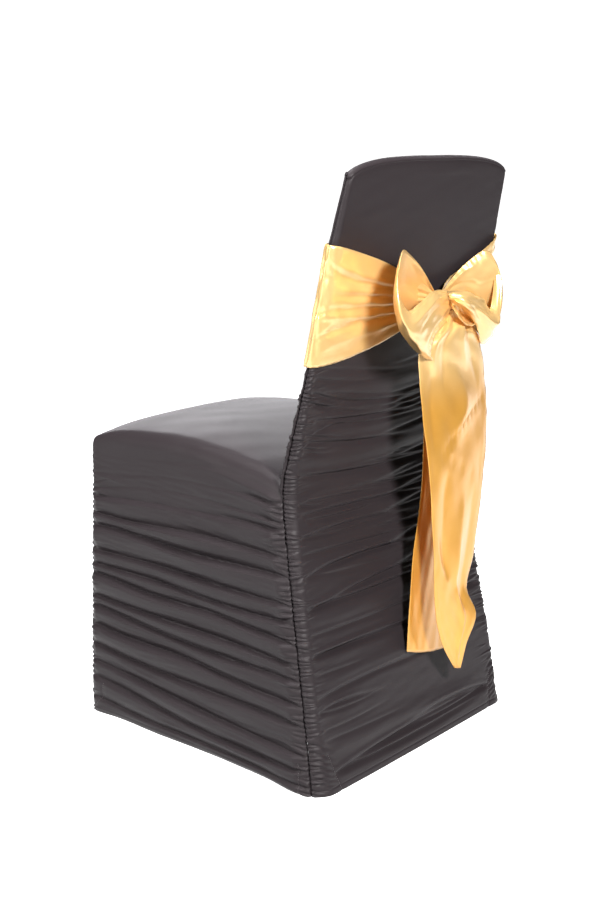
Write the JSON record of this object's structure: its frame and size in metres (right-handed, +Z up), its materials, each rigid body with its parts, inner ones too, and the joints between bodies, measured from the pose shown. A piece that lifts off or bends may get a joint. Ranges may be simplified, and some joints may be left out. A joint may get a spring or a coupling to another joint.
{
  "type": "chair cover with sash",
  "caption": "Fitted stretch cover for a banquet chair, gathered into sideways folds, with a satin sash tied in a bow behind the backrest.",
  "frame": {"origin": "on the floor, under the middle of the cover's bounding box", "axes": "+Z up; +Y towards the outer back with the bow, -Y the way the sitter faces; +X the sitter's left"},
  "size_m": [0.484, 0.5967, 0.92],
  "materials": {
    "cover_cloth": "matt stretch knit, charcoal",
    "pocket_cloth": "matt stretch knit, doubled",
    "sash_satin": "glossy satin, golden orange"
  },
  "bodies": {
    "root": {"saddle_panel": "cover_cloth", "front_skirt": "cover_cloth", "back_panel": "cover_cloth", "inner_back_panel": "cover_cloth", "foot_pocket_front_left": "pocket_cloth", "foot_pocket_front_right": "pocket_cloth", "foot_pocket_rear_left": "pocket_cloth", "foot_pocket_rear_right": "pocket_cloth", "sash": "sash_satin"}
  },
  "joints": []
}
